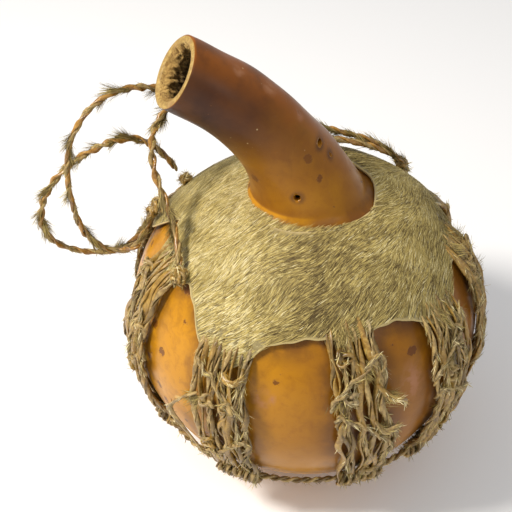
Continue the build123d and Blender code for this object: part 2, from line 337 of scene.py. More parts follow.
class Nodes:
    """Short forms for making a material's nodes."""

    def __init__(self, name, settings):
        self.material = new_material(name, settings)
        self.tree = self.material.node_tree
        self.place = self.tree.nodes.new("ShaderNodeTexCoord").outputs["Object"]

    def put(self, node, inputs):
        """Links a node's inputs to sockets, or sets their values."""
        for key, value in inputs.items():
            socket = node.inputs[key]
            if isinstance(value, bpy.types.NodeSocket):
                self.tree.links.new(value, socket)
            else:
                socket.default_value = (*value, 1) if socket.type == "RGBA" else value
        return node

    def new(self, kind, inputs):
        return self.put(self.tree.nodes.new("ShaderNode" + kind), inputs)

    def moved(self, location, stretch=(1, 1, 1)):
        inputs = {"Vector": self.place, "Location": location, "Scale": stretch}
        return self.new("Mapping", inputs).outputs["Vector"]

    def noise(self, scale, detail=4, roughness=0.55, stretch=(1, 1, 1), seed=0.0, distortion=0.0):
        inputs = {"Vector": self.moved((seed, seed * 1.7, -seed), stretch), "Scale": scale,
                  "Detail": detail, "Roughness": roughness, "Distortion": distortion}
        return self.new("TexNoise", inputs).outputs["Fac"]

    def cells(self, scale, seed):
        """Distance to the nearest cell's middle, and a random value for each cell."""
        node = self.new("TexVoronoi", {"Vector": self.moved((seed, -seed, seed * 0.6)), "Scale": scale})
        return node.outputs["Distance"], node.outputs["Color"]

    def attribute(self, name):
        node = self.new("Attribute", {})
        node.attribute_name = name
        return node.outputs["Fac"]

    def ramp(self, value, low, high, start=0, end=1):
        """Runs smoothly from start to end while the value goes from low to high."""
        inputs = {"Value": value, "From Min": low, "From Max": high, "To Min": start, "To Max": end}
        node = self.new("MapRange", {})
        node.interpolation_type = "SMOOTHSTEP"
        return self.put(node, inputs).outputs["Result"]

    def math(self, operation, a, b):
        node = self.new("Math", {0: a, 1: b})
        node.operation = operation
        return node.outputs["Value"]

    def times(self, a, b):
        return self.math("MULTIPLY", a, b)

    def marked(self, mark, scale, detail, seed, low, high, start=0.0):
        """A painted mark, broken up by noise."""
        patchy = self.ramp(self.noise(scale, detail, seed=seed), low, high, start)
        return self.times(self.attribute(mark), patchy)

    def mix(self, factor, a, b):
        node = self.new("Mix", {})
        node.data_type = "RGBA"
        return self.put(node, {0: factor, 6: a, 7: b}).outputs[2]

    def finish(self, colour, height, bump, distance, roughness=None):
        relief = self.new("Bump", {"Strength": bump, "Distance": distance, "Height": height})
        inputs = {"Base Color": colour, "Normal": relief.outputs["Normal"]}
        if roughness is not None:
            inputs["Roughness"] = roughness
        self.put(self.tree.nodes["Principled BSDF"], inputs)
        return self.material


def gourd_material():
    """Waxed orange rind: honey blotches, painted light on the left belly, a darker red-brown neck with
    painted shade and highlight, stains and painted shadow, pits and scars.
    """
    n = Nodes("gourd_rind", {"Roughness": 0.3, "Specular IOR Level": 0.20, "Coat Weight": 0.07,
                             "Coat Roughness": 0.16})
    broad = n.ramp(n.noise(11, 3, seed=3.1), 0.35, 0.65)
    cloud = n.ramp(n.noise(34, 5, seed=7.7, distortion=0.6), 0.35, 0.7)
    colour = n.mix(broad, (0.33, 0.136, 0.004), (0.25, 0.092, 0.003))
    colour = n.mix(n.times(cloud, 0.72), colour, (0.23, 0.082, 0.005))
    # Painted light: the left belly, on the lamp's side, is painted a brighter yellow-orange.
    colour = n.mix(n.times(n.attribute("sunny"), 0.8), colour, (0.55, 0.245, 0.006))
    mottle = n.noise(130, 6, 0.7, seed=12.5, distortion=0.5)
    colour = n.mix(n.ramp(mottle, 0.44, 0.70, 0, 0.36), colour, (0.20, 0.066, 0.005))
    streaks = n.noise(64, 5, 0.62, stretch=(1, 1, 0.32), seed=14.1, distortion=0.7)
    colour = n.mix(n.ramp(streaks, 0.54, 0.76, 0, 0.34), colour, (0.155, 0.052, 0.006))
    # The lower belly turns paler and pinker towards the bottom.
    colour = n.mix(n.marked("low", 16, 3, 5.2, 0.3, 0.6, 0.35), colour, (0.53, 0.245, 0.024))
    # Neck: red-brown, with painted purple-brown shade underneath and a painted orange highlight along its
    # upper side.
    neck = n.attribute("neck")
    blotched = n.ramp(n.noise(26, 4, seed=9.4), 0.3, 0.7)
    colour = n.mix(neck, colour, n.mix(blotched, (0.085, 0.025, 0.005), (0.15, 0.046, 0.005)))
    colour = n.mix(n.marked("shade", 40, 4, 2.2, 0.25, 0.65, 0.45), colour, (0.028, 0.009, 0.006))
    colour = n.mix(n.marked("glow", 55, 3, 8.2, 0.3, 0.6, 0.3), colour, (0.30, 0.085, 0.005))
    # Stains mixed with painted shadow: under the hide's edge, under the bundles and round the neck's foot.
    colour = n.mix(n.marked("stain", 70, 5, 4.6, 0.3, 0.62, 0.25), colour, (0.10, 0.036, 0.008))
    # Pits: brown specks of uneven size with ragged outlines, mostly on the left belly, in the same area as
    # the painted light.
    near, cell = n.cells(88, seed=2.0)
    patchy = n.math("MAXIMUM", n.ramp(n.noise(24, 2, seed=6.1), 0.42, 0.58, 0.1), n.attribute("sunny"))
    size = n.times(n.ramp(cell, 0.25, 0.9, 0.0, 0.34), patchy)
    near = n.math("ADD", near, n.ramp(n.noise(420, 3, 0.7, seed=3.3), 0.25, 0.75, -0.09, 0.09))
    pits = n.ramp(n.math("SUBTRACT", near, size), -0.04, 0.02, 1, 0)
    on_bowl = n.math("SUBTRACT", 0.8, n.times(neck, 0.75))
    colour = n.mix(n.times(pits, on_bowl), colour, (0.10, 0.028, 0.005))
    tiny, _ = n.cells(300, seed=5.0)
    specks = n.times(n.ramp(tiny, 0.06, 0.14, 1, 0), n.ramp(n.noise(60, 2, seed=3.7), 0.5, 0.62))
    colour = n.mix(n.times(specks, 0.55), colour, (0.16, 0.06, 0.015))
    chips, chip_cell = n.cells(120, seed=11.0)
    chipped = n.times(n.ramp(chips, 0.04, 0.08, 1, 0), n.ramp(chip_cell, 0.64, 0.68, 0, 0.7))
    colour = n.mix(n.times(chipped, neck), colour, (0.62, 0.46, 0.24))
    scarred = n.marked("scar", 150, 4, 9.9, 0.4, 0.6, 0.2)
    colour = n.mix(scarred, colour, (0.36, 0.16, 0.075))
    scratch = n.ramp(n.noise(90, 5, 0.7, stretch=(1, 1, 7), seed=1.9), 0.63, 0.72, 0, 0.35)
    colour = n.mix(scratch, colour, (0.25, 0.085, 0.014))
    rough = n.math("ADD", n.ramp(cloud, 0, 1, 0.30, 0.42), n.times(scarred, 0.25))
    fine = n.times(n.noise(240, 4, seed=1.3), 0.18)
    height = n.math("SUBTRACT", fine, n.math("ADD", n.times(pits, 0.9), specks))
    height = n.math("ADD", height, n.times(n.noise(45, 3, seed=4.4), 0.6))
    return n.finish(colour, height, 0.35, 0.0006, rough)


def pith_material():
    n = Nodes("gourd_pith", {"Roughness": 0.85})
    fibre = n.noise(320, 6, 0.7, seed=2.0, distortion=1.5)
    colour = n.mix(n.ramp(fibre, 0.35, 0.65), (0.17, 0.085, 0.016), (0.52, 0.335, 0.10))
    colour = n.mix(n.ramp(n.noise(90, 4, seed=6.0), 0.45, 0.75, 0, 0.7), colour, (0.36, 0.20, 0.045))
    # Painted shade: the pith darkens to near black deeper down the neck, and the hollow belly is near black
    # throughout.
    colour = n.mix(n.attribute("deep"), colour, (0.020, 0.009, 0.003))
    return n.finish(colour, fibre, 0.9, 0.0015)


def rim_material():
    n = Nodes("gourd_rim", {"Roughness": 0.6})
    grain = n.noise(420, 5, 0.7, seed=3.0)
    colour = n.mix(n.ramp(grain, 0.35, 0.7), (0.24, 0.140, 0.030), (0.44, 0.295, 0.080))
    colour = n.mix(n.ramp(n.noise(120, 3, seed=8.0), 0.5, 0.7, 0, 0.6), colour, (0.27, 0.145, 0.05))
    return n.finish(colour, grain, 0.5, 0.0005)


def hide_material():
    n = Nodes("hide_skin", {"Roughness": 0.75, "Sheen Weight": 0.25})
    grain = n.noise(520, 5, 0.65, seed=2.5)
    colour = n.mix(n.ramp(grain, 0.3, 0.7), (0.15, 0.11, 0.040), (0.33, 0.26, 0.10))
    colour = n.mix(n.ramp(n.noise(24, 4, seed=7.0), 0.35, 0.7, 0, 0.5), colour, (0.22, 0.18, 0.075))
    colour = n.mix(n.attribute("edge"), colour, (0.54, 0.41, 0.16))
    return n.finish(colour, grain, 0.6, 0.0008)


def thong_material(name, dark, light, roughness, coat):
    n = Nodes(name, {"Roughness": roughness, "Coat Weight": coat, "Coat Roughness": 0.3})
    streak = n.noise(260, 5, 0.65, seed=len(name) * 1.3, distortion=0.8)
    patch = n.noise(48, 3, seed=len(name) * 0.7)
    colour = n.mix(n.ramp(streak, 0.3, 0.72), dark, light)
    colour = n.mix(n.ramp(patch, 0.52, 0.75, 0, 0.75), colour, tuple(c * 0.42 for c in dark))
    rough = n.ramp(streak, 0.2, 0.8, roughness - 0.1, roughness + 0.15)
    return n.finish(colour, streak, 0.5, 0.0006, rough)


# ---- Gourd shell ----
LEAN_OUT = outward(NECK_AZIMUTH)
LEAN_SIDE = np.cross(UP, LEAN_OUT)
SKIN, NECK, RIM, PITH, HOLLOW = range(5)
AROUND_COUNT = 224
PITH_START = 0.35


def neck_ring(share, lift, around):
    """Ring of points across the neck at a share of its length, and the ring's outward directions."""
    rest = 1 - share
    out, height = np.array([rest**3, 3 * share * rest**2, 3 * share**2 * rest, share**3]) @ NECK_LINE
    tilt = math.radians(MOUTH_TILT * share**0.85)
    down_slope = LEAN_OUT * math.cos(tilt) - UP * math.sin(tilt)
    radius = (MOUTH_RADIUS + NECK_TAPER * rest
              + (THROAT_RADIUS - MOUTH_RADIUS - NECK_TAPER) * math.exp(-share / FLARE_REACH))
    directions = turned(down_slope, LEAN_SIDE, np.asarray(around))
    return LEAN_OUT * out + UP * height + directions * (radius + lift), directions


def body_profile(lift, count):
    """Radius and height down the body from the throat to the base, for a skin at that lift."""
    base = math.acos((BASE_RADIUS - LOWER_CENTRE) / LOWER_ARC)
    rise = np.linspace(SHOULDER_RISE, -base, count)
    arc = np.where(rise > 0, UPPER_ARC, LOWER_ARC) + lift
    centre = np.where(rise > 0, UPPER_CENTRE, LOWER_CENTRE)
    return np.stack([centre + arc * np.cos(rise), BELLY_HEIGHT + arc * np.sin(rise)], -1)


def throat_curve(count):
    """The concave turn from the shoulder into the neck's foot, as radius and height."""
    start = body_profile(0, 2)[0]
    end = np.array([THROAT_RADIUS, THROAT_HEIGHT])
    slope = np.array([-math.sin(SHOULDER_RISE), math.cos(SHOULDER_RISE)])
    knee = start + slope * (start[0] - end[0]) * 0.72
    t = np.linspace(0, 1, count)
    return np.outer((1 - t) ** 2, start) + np.outer(2 * t * (1 - t), knee) + np.outer(t**2, end)


def gourd_rings(around, azimuth):
    """Rings from the base up the skin, over the rim and down the inside, with their kind and neck share."""
    rings = []

    def add_levels(profile, kind):
        for radius, height in profile:
            rings.append((outward(azimuth) * radius + UP * height, kind, 0))

    add_levels(body_profile(0, 110)[::-1], SKIN)
    add_levels(throat_curve(10)[1:-1], SKIN)
    for share in np.linspace(0, 1, 96):
        rings.append((neck_ring(share, 0, around)[0], NECK, share))
    mouth, directions = neck_ring(1, 0, around)
    facing = unit(np.cross(directions[0], directions[len(around) // 4]))
    facing = facing if facing[2] > 0 else -facing
    half = MOUTH_WALL / 2
    for turn in np.linspace(0, math.pi, 9)[1:-1]:
        rounded = directions * half * (math.cos(turn) - 1) + facing * 0.8 * math.sin(turn)
        rings.append((mouth + rounded, RIM, 1))
    for share in np.linspace(1, 0, 80):
        rings.append((neck_ring(share, (WALL - MOUTH_WALL) * share - WALL, around)[0], PITH, share))
    add_levels(body_profile(-WALL, 60), HOLLOW)
    return (np.array(column) for column in zip(*rings))


def roughen(points, kinds, shares, around, azimuth):
    """Hand-grown unevenness: the skin only ever dips, so that it stays under the hide; crumbly pith."""
    broad, mid, fibre, crumb = Waves(130, 5), Waves(45, 6), Waves(7, 7), Waves(3.2, 9)
    dip = broad(points) * 0.8 + mid(points) * 0.25 - 1.3
    neck_dip = broad(points * 1.6) * 0.7 + mid(points) * 0.35 - 0.4
    body = kinds == SKIN
    fade = clamp((points[body][..., 2] - 3) / 20)
    points[body] += outward(azimuth) * (dip[body] * fade)[..., None] * 0.8
    for row in np.flatnonzero(kinds == NECK):
        _, directions = neck_ring(shares[row], 0, around)
        blend = min(1, shares[row] * 5)
        points[row] += directions * (dip[row] * 0.8 * (1 - blend) + neck_dip[row] * blend)[:, None]
    thick = np.clip((np.cos(around - math.radians(-35)) + 0.5) * 1.6, 0.2, 2.6)
    for row in np.flatnonzero((kinds == PITH) & (shares > PITH_START)):
        _, directions = neck_ring(shares[row], 0, around)
        crumbs = np.abs(fibre(points[row])) * 1.5 + np.abs(crumb(points[row])) * 0.9
        depth = clamp((shares[row] - PITH_START) * 3) * np.clip((1 - shares[row]) * 25, 0.15, 1)
        points[row] -= directions * ((thick + crumbs) * depth)[:, None]


def make_gourd():
    """One continuous shell: outer skin, rounded rim, pith-lined neck and hollow belly."""
    around = np.linspace(0, TAU, AROUND_COUNT, endpoint=False)
    azimuth = np.degrees(around) + NECK_AZIMUTH
    points, kinds, shares = gourd_rings(around, azimuth)
    roughen(points, kinds, shares, around, azimuth)
    rows = len(points)
    slots = np.repeat(np.select([kinds[:-1] <= NECK, kinds[:-1] == RIM], [0, 1], 2), AROUND_COUNT)
    flat = points.reshape(-1, 3)
    middle = np.full(AROUND_COUNT, len(flat))
    first = np.arange(AROUND_COUNT)
    last = (rows - 1) * AROUND_COUNT + first
    caps = np.vstack([np.stack([middle, np.roll(first, -1), first], -1),
                      np.stack([middle + 1, last, np.roll(last, -1)], -1)])
    flat = np.vstack([flat, [(0, 0, 0), (0, 0, flat[last, 2].mean())]])
    kind_at = np.append(np.repeat(kinds, AROUND_COUNT), [SKIN, HOLLOW])
    share_at = np.append(np.repeat(shares, AROUND_COUNT), [0, 0])
    marks = gourd_marks(flat, kind_at, share_at, np.append(np.tile(around, rows), [0, 0]))
    gourd = add_mesh("gourd_shell", flat, [grid_faces(rows, AROUND_COUNT), caps],
                     [gourd_material(), rim_material(), pith_material()],
                     np.concatenate([slots, np.repeat([0, 2], AROUND_COUNT)]), "gourd_shell", marks)
    drill(gourd)
    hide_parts("gourd_bowl", "gourd_neck")


def gourd_marks(points, kind, share, angle):
    """Where the rind is darker, paler, stained, scarred or painted with light and shade, as numbers from 0
    to 1 at each point.
    """
    azimuth = np.degrees(np.arctan2(points[:, 0], -points[:, 1]))
    height = points[:, 2]
    on_neck, on_belly, outside = kind == NECK, kind == SKIN, kind <= NECK
    # The angle is 0 on the underside of the lean and pi on its upper side.
    under = clamp(np.cos(angle - 0.55) * 0.75 + 0.35)
    upper = clamp(-np.cos(angle - 0.2) * 1.5 - 0.35)
    marks = {
        "neck": clamp((share - 0.10) * 2.1) * 0.95 * on_neck,
        # Painted shade under the neck's lean and a painted highlight along its upper side.
        "shade": clamp((share - 0.30) * 2.2) * under * on_neck,
        "glow": upper * np.clip(share * 2, 0, 0.8) * on_neck,
        "low": clamp((95 - height) / 60) * 0.95,
        # Painted light on the left belly, which faces the key light; the pits gather there too.
        "sunny": clamp(np.cos(np.radians(azimuth + 62)) * 1.6 - 0.35) * clamp((height - 40) / 60) * on_belly,
        # Painted shade deep inside the neck and throughout the hollow.
        "deep": np.where(kind == PITH, clamp((0.93 - share) * 9), 1) * (kind >= PITH),
    }
    # Stains beside the bundles and round the neck's holes; painted shadow under the bundles and round the
    # neck's foot; both just under the hide's edge.
    below = hide_edge_height(azimuth) - height
    stain = clamp(1 - (below - 2) / 15) ** 1.5 * (below > -4) * 0.9
    for place in BUNDLES:
        off = np.abs(wrapped(azimuth - bundle_middle(place, height)))
        beside = clamp(1 - np.abs(off - 10) / 6) * clamp((height - 40) / 10) * (below > 0)
        beneath = clamp(1.4 - off / 9) * (height > 40) * (height < 190)
        stain = np.maximum(stain, np.maximum(beside * 0.65, beneath * 0.8))
    # Painted shadow: a dark band round the neck's foot, under the hide's lip.
    stain = np.maximum(stain, clamp(1 - np.abs(height - 201) / 5) * 0.7)
    for hole_azimuth, hole_height, radius in NECK_HOLES:
        mark = outward(hole_azimuth)
        across = points - mark * (points @ mark)[:, None] - UP * hole_height
        near = np.linalg.norm(across, axis=1) - radius
        stain = np.maximum(stain, clamp(1.3 - near / 2.6) * (points @ mark > 0))
    marks["stain"] = stain * outside
    # A faint round scar on the front, a rubbed pink patch on the right and rubs on top of the neck.
    from_ring = np.linalg.norm(points - skin(-10.9, 130)[0], axis=1)
    from_patch = np.linalg.norm((points - skin(37, 129)[0]) * (1, 1, 0.55), axis=1)
    scar = np.maximum(clamp(1 - np.abs(from_ring - 5) / 2.5) * 0.8, clamp(1.3 - from_patch / 8)) * on_belly
    for along, way, reach in ((0.57, 160, 5.0), (0.74, 157, 4.0), (0.40, 150, 3.5)):
        rub, _ = neck_ring(along, 0, np.radians([way]))
        from_rub = np.linalg.norm(points - rub[0], axis=1)
        scar = np.maximum(scar, clamp(1.4 - from_rub / reach) * 0.8 * on_neck)
    marks["scar"] = scar
    return marks


def drill(gourd):
    """Cuts the small round holes through the neck's wall."""
    for azimuth, height, radius in NECK_HOLES:
        path = outward(azimuth) * np.linspace(5, 48, 10)[:, None] + UP * height
        points, quads, tris = strand_mesh(path, radius, radius * 1.1, 0, sides=20, taper=0)
        cutter = add_mesh("cutter", points, [quads, tris], gourd.data.materials[:])
        cut = gourd.modifiers.new("hole", "BOOLEAN")
        cut.object = cutter
        cut.operation = "DIFFERENCE"
        cut.solver = "EXACT"
        with bpy.context.temp_override(object=gourd, active_object=gourd, selected_objects=[gourd]):
            bpy.ops.object.modifier_apply(modifier=cut.name)
        bpy.data.objects.remove(cutter)


# ---- Hide cover ----
HIDE_COLUMNS, HIDE_ROWS = 900, 54
HIDE_THICKNESS = 1.25


def hide_edge_height(azimuth):
    """Height of the hide's lower edge at azimuths, with its corners softened a little."""
    places, heights = np.array(sorted(HIDE_EDGE), float).T
    places = np.concatenate([places - 360, places, places + 360])
    heights = np.tile(heights, 3)
    start = HIDE_EDGE[0][0]
    x = (np.asarray(azimuth, float) - start) % 360 + start
    at, before, after = (np.interp(x + shift, places, heights) for shift in (0, -1.6, 1.6))
    return (at + (before + after) / 2) / 2


def hide_lift(azimuth, share, points):
    """Lift of the hide's outer face: wrinkled, raised a little at both edges."""
    a = np.radians(azimuth)
    wrinkle = Waves(28, 11)(points) * 0.22 + Waves(70, 12)(points) * 0.25
    lower = clamp(1 - share * 9) ** 2 * (1.1 + 0.9 * np.sin(a * 5 + 1) * np.cos(a * 3))
    upper = clamp(1 - (1 - share) * 7) ** 2 * (0.5 + 0.3 * np.sin(a * 2 + 2))
    return 1.5 + np.clip(wrinkle, -0.5, 0.8) + lower + upper


def slit_places():
    """Azimuth, height, half length and half width of each slit that a thong comes out of."""
    draw = np.random.default_rng(77)
    return np.array([(azimuth + offset + draw.normal(0, 0.3), height + draw.normal(0, 1.2),
                      draw.uniform(3.0, 5.5), draw.uniform(0.9, 1.8))
                     for azimuth, height, _, _ in BUNDLES.values()
                     for offset in np.linspace(-SLIT_SPREAD, SLIT_SPREAD, SLITS_EACH)])


def cut_edge_walls(quads, inner_start):
    """Walls along every edge that only one outer face uses, down to the inner face's points."""
    edges = np.vstack([quads[:, [i, (i + 1) % 4]] for i in range(4)])
    keys = np.sort(edges, 1) @ np.array([1 << 32, 1])
    _, inverse, count = np.unique(keys, return_inverse=True, return_counts=True)
    start, end = edges[count[inverse] == 1].T
    return np.stack([end, start, start + inner_start, end + inner_start], -1)


def make_hide():
    """Dried hide draped over the shoulder: real thickness, curled pale edges and open slits."""
    azimuth = np.linspace(-180, 180, HIDE_COLUMNS, endpoint=False)
    share = np.linspace(0, 1, HIDE_ROWS)[:, None]
    out = outward(azimuth)
    low = rise_of(hide_edge_height(azimuth) + Waves(9, 21)(out * 60) * 0.35)
    rise = low + (HIDE_TOP_RISE + Waves(30, 22)(out * 40) * 0.008 - low) * share
    base, normal = over_shoulder(azimuth, rise)
    lift = hide_lift(azimuth, share, base)[..., None]
    outer = base + normal * lift
    inner = base + normal * np.maximum(lift - HIDE_THICKNESS, 0.15)
    opened = np.zeros((HIDE_ROWS - 1, HIDE_COLUMNS), bool)
    face_rise = (rise[:-1] + rise[1:]) / 2
    for place, height, half_length, half_width in slit_places():
        slit_rise = rise_of(height)
        along = (face_rise - slit_rise) * UPPER_ARC
        across = np.radians(wrapped(azimuth - place)) * (UPPER_CENTRE + UPPER_ARC * math.cos(slit_rise))
        opened |= (along / half_length) ** 2 + ((across + along * 0.15) / half_width) ** 2 < 1
    top = grid_faces(HIDE_ROWS, HIDE_COLUMNS)[~opened.ravel()]
    inner_start = HIDE_ROWS * HIDE_COLUMNS
    faces = np.vstack([top, top[:, ::-1] + inner_start, cut_edge_walls(top, inner_start)])
    to_edge = np.minimum(share, 1 - share) * (HIDE_TOP_RISE - low) * UPPER_ARC
    pale = clamp(1 - to_edge / 1.6).ravel()
    hide = add_mesh("hide_cover_skin", np.vstack([outer.reshape(-1, 3), inner.reshape(-1, 3)]), [faces],
                    [hide_material()], slot="haired_hide", attributes={"edge": np.tile(pale, 2)})
    drop_loose(hide)
    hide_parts("hide_cover")
    return hide


def drop_loose(piece):
    """Deletes points that no face uses."""
    mesh = bmesh.new()
    mesh.from_mesh(piece.data)
    bmesh.ops.delete(mesh, geom=[v for v in mesh.verts if not v.link_faces], context="VERTS")
    mesh.to_mesh(piece.data)
    mesh.free()


# ---- Hair ----
HAIR_TONES = {
    "hair_straw": (0.50, 0.385, 0.125),
    "hair_khaki": (0.330, 0.250, 0.085),
    "hair_pale": (0.65, 0.54, 0.235),
    "hair_olive": (0.205, 0.150, 0.052),
    "hair_umber": (0.105, 0.070, 0.026),
    "hair_cream": (0.78, 0.685, 0.40),
}
STRAW, KHAKI, PALE, OLIVE, UMBER, CREAM = range(6)
DARK_TO_LIGHT = np.array([UMBER, OLIVE, KHAKI, STRAW, PALE, CREAM])
HIDE_HAIRS, HIDE_HAIR_PIECES = 27000, 4
HAIR_FLOW = np.array([(1.0, 0, 0), (0, 0.64, 0.77)])
# The fold line across the hide's left shoulder, drawn only as painted shade in the hair.
CREASE = np.array([(-69.4, -8.4, 192.5), (-57.3, -2.6, 198.9), (-45.2, 4.1, 203.0)])


def add_hair(name, roots, normals, directions, lengths, widths, lifts, bend, tones, materials, slot):
    """Each hair is a narrow ribbon of three steps that rises off its root and tapers to a point."""
    side = unit(np.cross(directions, normals))
    steps = []
    for t, thin in ((0, 0.8), (0.38, 1.0), (0.72, 0.7)):
        middle = (roots + directions * (lengths * t)[:, None] + normals * (lifts * t**1.3)[:, None]
                  + side * (bend * t**2)[:, None])
        half = side * (widths * thin / 2)[:, None]
        steps += [middle - half, middle + half]
    tip = roots + directions * lengths[:, None] + normals * (lifts * 0.95)[:, None] + side * bend[:, None]
    base = np.arange(len(roots))[:, None] * 7
    quads = np.concatenate([base + [0, 1, 3, 2], base + [2, 3, 5, 4]])
    return add_mesh(name, np.stack(steps + [tip], 1), [quads, base + [4, 5, 6]], materials,
                    np.tile(tones, 3), slot)


def crease_distance(points):
    """How far points are from the fold line."""
    nearest = np.full(len(points), 1e9)
    for a, b in zip(CREASE[:-1], CREASE[1:]):
        t = clamp(((points - a) @ (b - a)) / ((b - a) @ (b - a)))
        nearest = np.minimum(nearest, np.linalg.norm(points - a - t[:, None] * (b - a), axis=1))
    return nearest


def combed_directions(base, normals, draw):
    """Along the skin in the hide's one flow of hair, steeper to the right, with small swirls."""
    swirl = Waves(42, 31)(base) * 0.24 + Waves(14, 32)(base) * 0.07 + draw.normal(0, 0.075, len(base))
    slope = np.radians(np.interp(base[:, 0], [-90, -20, 30, 90], [32, 37, 50, 68]))
    combed = turned(*HAIR_FLOW, slope)
    flow = unit(combed - normals * (normals * combed).sum(1)[:, None])
    return unit(turned(flow, np.cross(normals, flow), swirl))


def hair_tones_at(base, clump, draw):
    """Tone of each hair: painted light on the left, painted shade in the middle and along the crease, and
    random variation.
    """
    tone = clump * 0.30 + Waves(22, 34)(base) * 0.30 + draw.normal(0, 0.85, len(base))
    # Painted light and shade: paler on the left where the light falls, darker in the middle, and a painted
    # shadow along the crease.
    tone += np.interp(base[:, 0], [-80, -45, 0, 45, 80], [0.25, 0.70, -1.0, -0.1, -0.25])
    tone -= 1.6 * np.exp(-(crease_distance(base) / 1.3) ** 2)
    return DARK_TO_LIGHT[np.digitize(tone, [-1.35, -0.75, -0.1, 0.75, 1.55])]


def hide_hair(materials):
    """Short straight hair that lies across the hide, combed one way."""
    draw = np.random.default_rng(41)
    slits = slit_places()
    sector = 360 / HIDE_HAIR_PIECES
    for number in range(HIDE_HAIR_PIECES):
        start = number * sector - 180
        azimuth = draw.uniform(start, start + sector, HIDE_HAIRS)
        low = rise_of(hide_edge_height(azimuth))
        share = draw.uniform(0, 1, HIDE_HAIRS)
        rise = low + (HIDE_TOP_RISE - low) * share
        keep = draw.uniform(0, 1, HIDE_HAIRS) < (UPPER_CENTRE + UPPER_ARC * np.cos(rise)) / 118
        keep &= (rise - low) * UPPER_ARC > 0.8
        for place, height, half_length, half_width in slits:
            along = (rise - rise_of(height)) * UPPER_ARC
            across = np.radians(wrapped(azimuth - place)) * 95
            keep &= (along / (half_length + 0.5)) ** 2 + (across / (half_width + 0.3)) ** 2 > 1
        azimuth, rise, share = azimuth[keep], rise[keep], share[keep]
        base, normals = over_shoulder(azimuth, rise)
        count = len(base)
        roots = base + normals * (hide_lift(azimuth, share, base) - 0.1)[:, None]
        directions = combed_directions(base, normals, draw)
        lengths = draw.uniform(5.5, 10.5, count)
        clump = Waves(3.4, 33)(base)
        lifts = draw.uniform(0.2, 0.75, count) + np.clip(clump, 0, 2) * 0.12
        widths = draw.uniform(0.26, 0.52, count)
        tones = hair_tones_at(base, clump, draw)
        add_hair(f"hide_hair_{number + 1}", roots, normals, directions, lengths, widths, lifts,
                 draw.normal(0, 0.5, count), tones, materials, "haired_hide")


class HairBatch:
    """Collects hairs from many thongs into one piece."""

    def __init__(self, draw):
        self.draw = draw
        self.parts = []

    def add(self, roots, normals, directions, lengths, width=0.42, tones=range(6)):
        draw, count = self.draw, len(roots)
        self.parts.append((roots, normals, directions, lengths, draw.uniform(0.6, 1.2, count) * width,
                           draw.uniform(-0.1, 0.25, count) * lengths * 0.4,
                           draw.normal(0, 0.10, count) * lengths, draw.choice(tones, count)))

    def along(self, path, radius, count, length, spread, facing=None, **look):
        """Hairs all along a thong, leaning along it, all round or on the side that faces one way."""
        draw = self.draw
        tangent, side, other = frames_along(path)
        at = draw.integers(1, len(path) - 2, count)
        angle = draw.uniform(0, TAU, count) if facing is None else facing + draw.normal(0, 0.45, count)
        normal = turned(side[at], other[at], angle)
        between = draw.uniform(0, 1, count)[:, None]
        roots = path[at] * (1 - between) + path[at + 1] * between + normal * radius
        lean = draw.uniform(0.25, 1.0, count)[:, None]
        directions = unit(tangent[at] + normal * lean * spread + draw.normal(0, 0.18, (count, 3)))
        normals = unit(normal - directions * (normal * directions).sum(1)[:, None])
        self.add(roots, normals, directions, draw.uniform(0.45, 1.0, count) * length, **look)

    def build(self, name, materials, slot):
        columns = [np.concatenate(column) for column in zip(*self.parts)]
        return add_hair(name, *columns, materials, slot)


# ---- Thongs ----
class Thongs:
    """Collects strips of rawhide and the hair on them, and makes one piece of each."""

    def __init__(self, seed):
        self.draw = np.random.default_rng(seed)
        self.hair = HairBatch(self.draw)
        self.points, self.quads, self.caps, self.slots = [], [], [], []
        self.count = 0

    def strip(self, path, half_width, half_thickness, turn, slot, capped=True, **shape):
        points, quads, caps = strand_mesh(path, half_width, half_thickness, turn, **shape)
        if not capped:
            points, caps = points[:-2], caps[:0]
        self.points.append(points)
        self.quads.append(quads + self.count)
        self.caps.append(caps + self.count)
        self.slots.append(slot)
        self.count += len(points)

    def two_ply(self, path, pitch, reach, half_width, slots, hairs, hair_length):
        """Two flat plies laid round each other along a path; the second carries hair."""
        _, side, other = frames_along(path)
        along = np.concatenate([[0], np.cumsum(np.linalg.norm(np.diff(path, axis=0), axis=1))])
        phase = TAU * along / pitch + self.draw.uniform(0, 6)
        for ply, slot in enumerate(slots):
            angle = phase + ply * math.pi
            line = path + turned(side, other, angle) * reach
            wide = half_width * (1 + 0.14 * Waves(24, int(self.draw.integers(1, 9000)))(path))
            self.strip(line, wide, 0.8, angle + math.pi / 2, slot)
        self.hair.along(line, 0.85, hairs, hair_length, 0.42, width=0.34)

    def build_strips(self, name, materials, slot, node=None):
        """The strips as one piece, which stands for the node."""
        faces = [np.vstack(self.quads), np.vstack(self.caps)]
        slots = np.concatenate([np.repeat(self.slots, [len(part) for part in parts])
                                for parts in (self.quads, self.caps)])
        strips = add_mesh(name, np.vstack(self.points), faces, materials, slots, slot)
        if node:
            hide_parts(node)
        return strips

    def build(self, name, hair_name, looks, slot, node=None):
        materials, hair_materials = looks
        self.build_strips(name, materials, slot, node)
        self.hair.build(hair_name, hair_materials, slot)


def knot_path(centre, size, normal, draw, count=70):
    """A tied overhand knot pulled tight: a flattened trefoil."""
    t = np.linspace(0.15, TAU - 0.15, count)
    across = unit(np.cross(normal, draw.normal(size=3)))
    other = np.cross(normal, across)
    x, y, z = np.sin(t) + 2 * np.sin(2 * t), np.cos(t) - 2 * np.cos(2 * t), -np.sin(3 * t)
    level = (across * x[:, None] + other * y[:, None]) / 3
    return centre + (level + normal * z[:, None] / 3.2) * size


